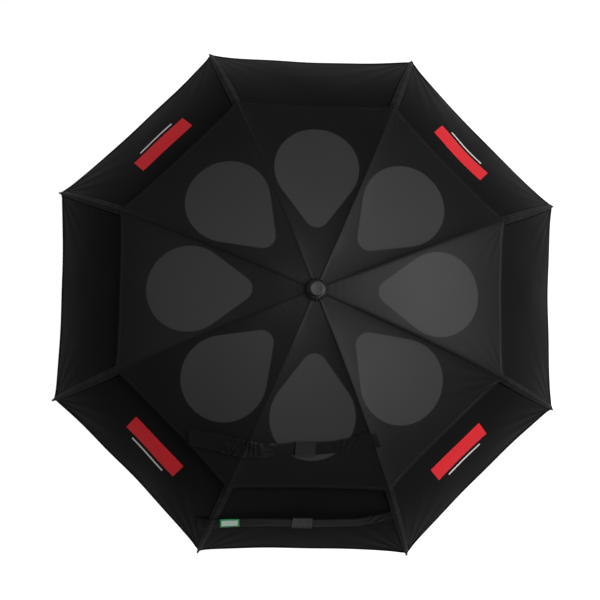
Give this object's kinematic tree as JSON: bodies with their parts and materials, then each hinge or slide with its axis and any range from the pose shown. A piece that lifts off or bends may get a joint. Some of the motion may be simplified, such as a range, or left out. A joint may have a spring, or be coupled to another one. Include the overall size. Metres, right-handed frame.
{
  "type": "golf umbrella",
  "caption": "Large rain umbrella with a vented double canopy on curved ribs, a sliding runner, spring catches and a straight foam grip.",
  "frame": {"origin": "centre of the flat end face of the handle", "axes": "+Z along the shaft from the handle to the crown; the vented panel that faces +Y is the one opposite the tie straps"},
  "size_m": [1.258, 1.258, 0.9907],
  "materials": {
    "canopy_fabric": "matt black coated pongee",
    "strap_fabric": "matt black strap cloth",
    "label_cloth": "green woven label",
    "fibreglass": "black pultruded fibreglass",
    "moulded_nylon": "black moulded nylon",
    "steel": "zinc-plated steel",
    "eva_foam": "black closed-cell foam"
  },
  "bodies": {
    "shaft": {"shaft": "fibreglass", "crown": "moulded_nylon", "crown_wire": "steel", "cap_ring": "moulded_nylon", "top_cap": "moulded_nylon", "top_stop": "steel", "handle_grip": "eva_foam", "handle_collar": "moulded_nylon", "end_cap": "moulded_nylon", "upper_canopy": "canopy_fabric"},
    "top_catch": {"top_catch": "steel"},
    "bottom_catch": {"bottom_catch": "steel"},
    "runner": {"runner": "moulded_nylon", "runner_wire": "steel"},
    "rib_1": {"rib_inner_1": "fibreglass", "lower_panel_1": "canopy_fabric"},
    "rib_end_1": {"rib_outer_1": "fibreglass", "rib_tip_1": "moulded_nylon"},
    "stretcher_1": {"stretcher_1": "steel"},
    "rib_2": {"rib_inner_2": "fibreglass", "lower_panel_2": "canopy_fabric"},
    "rib_end_2": {"rib_outer_2": "fibreglass", "rib_tip_2": "moulded_nylon"},
    "stretcher_2": {"stretcher_2": "steel"},
    "rib_3": {"rib_inner_3": "fibreglass", "lower_panel_3": "canopy_fabric"},
    "rib_end_3": {"rib_outer_3": "fibreglass", "rib_tip_3": "moulded_nylon"},
    "stretcher_3": {"stretcher_3": "steel"},
    "rib_4": {"rib_inner_4": "fibreglass", "lower_panel_4": "canopy_fabric"},
    "rib_end_4": {"rib_outer_4": "fibreglass", "rib_tip_4": "moulded_nylon"},
    "stretcher_4": {"stretcher_4": "steel"},
    "rib_5": {"rib_inner_5": "fibreglass", "lower_panel_5": "canopy_fabric"},
    "rib_end_5": {"rib_outer_5": "fibreglass", "rib_tip_5": "moulded_nylon"},
    "stretcher_5": {"stretcher_5": "steel"},
    "rib_6": {"rib_inner_6": "fibreglass", "lower_panel_6": "canopy_fabric"},
    "rib_end_6": {"rib_outer_6": "fibreglass", "rib_tip_6": "moulded_nylon"},
    "stretcher_6": {"stretcher_6": "steel"},
    "rib_7": {"rib_inner_7": "fibreglass", "lower_panel_7": "canopy_fabric"},
    "rib_end_7": {"rib_outer_7": "fibreglass", "rib_tip_7": "moulded_nylon", "tie_strap_long": "strap_fabric", "tie_strap_short": "strap_fabric", "strap_label": "label_cloth"},
    "stretcher_7": {"stretcher_7": "steel"},
    "rib_8": {"rib_inner_8": "fibreglass", "lower_panel_8": "canopy_fabric"},
    "rib_end_8": {"rib_outer_8": "fibreglass", "rib_tip_8": "moulded_nylon"},
    "stretcher_8": {"stretcher_8": "steel"}
  },
  "joints": [
    {"name": "canopy_fold", "type": "hinge", "parent": "shaft", "child": "rib_1", "pos_m": [0.01663, 0.00689, 0.955], "axis": [-0.3827, 0.9239, 0], "range_deg": [0, 76], "deforming": ["lower_panel_1", "lower_panel_2", "lower_panel_3", "lower_panel_4", "lower_panel_5", "lower_panel_6", "lower_panel_7", "lower_panel_8", "upper_canopy", "tie_strap_long", "tie_strap_short", "strap_label", "bottom_catch"]},
    {"name": "rib_1_bend", "type": "hinge", "parent": "rib_1", "child": "rib_end_1", "pos_m": [0.34273, 0.14196, 0.88406], "axis": [0.3827, -0.9239, 0], "range_deg": [0, 22.8]},
    {"name": "stretcher_1_pivot", "type": "hinge", "parent": "rib_1", "child": "stretcher_1", "pos_m": [0.32388, 0.13416, 0.88431], "axis": [0.3827, -0.9239, 0], "range_deg": [0, 152]},
    {"name": "runner_pivot", "type": "hinge", "parent": "stretcher_1", "child": "runner", "pos_m": [0.01663, 0.00689, 0.81362], "axis": [-0.3827, 0.9239, 0], "range_deg": [0, 76]},
    {"name": "rib_2_fold", "type": "hinge", "parent": "shaft", "child": "rib_2", "pos_m": [0.00689, 0.01663, 0.955], "axis": [-0.9239, 0.3827, 0], "range_deg": [0, 76]},
    {"name": "rib_2_bend", "type": "hinge", "parent": "rib_2", "child": "rib_end_2", "pos_m": [0.14196, 0.34273, 0.88406], "axis": [0.9239, -0.3827, 0], "range_deg": [0, 22.8]},
    {"name": "stretcher_2_pivot", "type": "hinge", "parent": "rib_2", "child": "stretcher_2", "pos_m": [0.13416, 0.32388, 0.88431], "axis": [0.9239, -0.3827, 0], "range_deg": [0, 152]},
    {"name": "rib_3_fold", "type": "hinge", "parent": "shaft", "child": "rib_3", "pos_m": [-0.00689, 0.01663, 0.955], "axis": [-0.9239, -0.3827, 0], "range_deg": [0, 76]},
    {"name": "rib_3_bend", "type": "hinge", "parent": "rib_3", "child": "rib_end_3", "pos_m": [-0.14196, 0.34273, 0.88406], "axis": [0.9239, 0.3827, 0], "range_deg": [0, 22.8]},
    {"name": "stretcher_3_pivot", "type": "hinge", "parent": "rib_3", "child": "stretcher_3", "pos_m": [-0.13416, 0.32388, 0.88431], "axis": [0.9239, 0.3827, 0], "range_deg": [0, 152]},
    {"name": "rib_4_fold", "type": "hinge", "parent": "shaft", "child": "rib_4", "pos_m": [-0.01663, 0.00689, 0.955], "axis": [-0.3827, -0.9239, 0], "range_deg": [0, 76]},
    {"name": "rib_4_bend", "type": "hinge", "parent": "rib_4", "child": "rib_end_4", "pos_m": [-0.34273, 0.14196, 0.88406], "axis": [0.3827, 0.9239, 0], "range_deg": [0, 22.8]},
    {"name": "stretcher_4_pivot", "type": "hinge", "parent": "rib_4", "child": "stretcher_4", "pos_m": [-0.32388, 0.13416, 0.88431], "axis": [0.3827, 0.9239, 0], "range_deg": [0, 152]},
    {"name": "rib_5_fold", "type": "hinge", "parent": "shaft", "child": "rib_5", "pos_m": [-0.01663, -0.00689, 0.955], "axis": [0.3827, -0.9239, 0], "range_deg": [0, 76]},
    {"name": "rib_5_bend", "type": "hinge", "parent": "rib_5", "child": "rib_end_5", "pos_m": [-0.34273, -0.14196, 0.88406], "axis": [-0.3827, 0.9239, 0], "range_deg": [0, 22.8]},
    {"name": "stretcher_5_pivot", "type": "hinge", "parent": "rib_5", "child": "stretcher_5", "pos_m": [-0.32388, -0.13416, 0.88431], "axis": [-0.3827, 0.9239, 0], "range_deg": [0, 152]},
    {"name": "rib_6_fold", "type": "hinge", "parent": "shaft", "child": "rib_6", "pos_m": [-0.00689, -0.01663, 0.955], "axis": [0.9239, -0.3827, 0], "range_deg": [0, 76]},
    {"name": "rib_6_bend", "type": "hinge", "parent": "rib_6", "child": "rib_end_6", "pos_m": [-0.14196, -0.34273, 0.88406], "axis": [-0.9239, 0.3827, 0], "range_deg": [0, 22.8]},
    {"name": "stretcher_6_pivot", "type": "hinge", "parent": "rib_6", "child": "stretcher_6", "pos_m": [-0.13416, -0.32388, 0.88431], "axis": [-0.9239, 0.3827, 0], "range_deg": [0, 152]},
    {"name": "rib_7_fold", "type": "hinge", "parent": "shaft", "child": "rib_7", "pos_m": [0.00689, -0.01663, 0.955], "axis": [0.9239, 0.3827, 0], "range_deg": [0, 76]},
    {"name": "rib_7_bend", "type": "hinge", "parent": "rib_7", "child": "rib_end_7", "pos_m": [0.14196, -0.34273, 0.88406], "axis": [-0.9239, -0.3827, 0], "range_deg": [0, 22.8]},
    {"name": "stretcher_7_pivot", "type": "hinge", "parent": "rib_7", "child": "stretcher_7", "pos_m": [0.13416, -0.32388, 0.88431], "axis": [-0.9239, -0.3827, 0], "range_deg": [0, 152]},
    {"name": "rib_8_fold", "type": "hinge", "parent": "shaft", "child": "rib_8", "pos_m": [0.01663, -0.00689, 0.955], "axis": [0.3827, 0.9239, 0], "range_deg": [0, 76]},
    {"name": "rib_8_bend", "type": "hinge", "parent": "rib_8", "child": "rib_end_8", "pos_m": [0.34273, -0.14196, 0.88406], "axis": [-0.3827, -0.9239, 0], "range_deg": [0, 22.8]},
    {"name": "stretcher_8_pivot", "type": "hinge", "parent": "rib_8", "child": "stretcher_8", "pos_m": [0.32388, -0.13416, 0.88431], "axis": [-0.3827, -0.9239, 0], "range_deg": [0, 152]},
    {"name": "top_catch_press", "type": "hinge", "parent": "shaft", "child": "top_catch", "pos_m": [0, -0.002, 0.72402], "axis": [-1, 0, 0], "range_deg": [0, 5.5], "stiffness_Nm_per_rad": 0.03},
    {"name": "bottom_catch_press", "type": "hinge", "parent": "shaft", "child": "bottom_catch", "pos_m": [0, -0.002, 0.21741], "axis": [-1, 0, 0], "range_deg": [0, 5.5], "stiffness_Nm_per_rad": 0.03}
  ],
  "couplings": [
    {"joint": "rib_1_bend", "follows": "canopy_fold", "ratio": 0.3},
    {"joint": "stretcher_1_pivot", "follows": "canopy_fold", "ratio": 2},
    {"joint": "runner_pivot", "follows": "canopy_fold", "ratio": 1},
    {"joint": "rib_2_fold", "follows": "canopy_fold", "ratio": 1},
    {"joint": "rib_2_bend", "follows": "canopy_fold", "ratio": 0.3},
    {"joint": "stretcher_2_pivot", "follows": "canopy_fold", "ratio": 2},
    {"joint": "rib_3_fold", "follows": "canopy_fold", "ratio": 1},
    {"joint": "rib_3_bend", "follows": "canopy_fold", "ratio": 0.3},
    {"joint": "stretcher_3_pivot", "follows": "canopy_fold", "ratio": 2},
    {"joint": "rib_4_fold", "follows": "canopy_fold", "ratio": 1},
    {"joint": "rib_4_bend", "follows": "canopy_fold", "ratio": 0.3},
    {"joint": "stretcher_4_pivot", "follows": "canopy_fold", "ratio": 2},
    {"joint": "rib_5_fold", "follows": "canopy_fold", "ratio": 1},
    {"joint": "rib_5_bend", "follows": "canopy_fold", "ratio": 0.3},
    {"joint": "stretcher_5_pivot", "follows": "canopy_fold", "ratio": 2},
    {"joint": "rib_6_fold", "follows": "canopy_fold", "ratio": 1},
    {"joint": "rib_6_bend", "follows": "canopy_fold", "ratio": 0.3},
    {"joint": "stretcher_6_pivot", "follows": "canopy_fold", "ratio": 2},
    {"joint": "rib_7_fold", "follows": "canopy_fold", "ratio": 1},
    {"joint": "rib_7_bend", "follows": "canopy_fold", "ratio": 0.3},
    {"joint": "stretcher_7_pivot", "follows": "canopy_fold", "ratio": 2},
    {"joint": "rib_8_fold", "follows": "canopy_fold", "ratio": 1},
    {"joint": "rib_8_bend", "follows": "canopy_fold", "ratio": 0.3},
    {"joint": "stretcher_8_pivot", "follows": "canopy_fold", "ratio": 2}
  ]
}
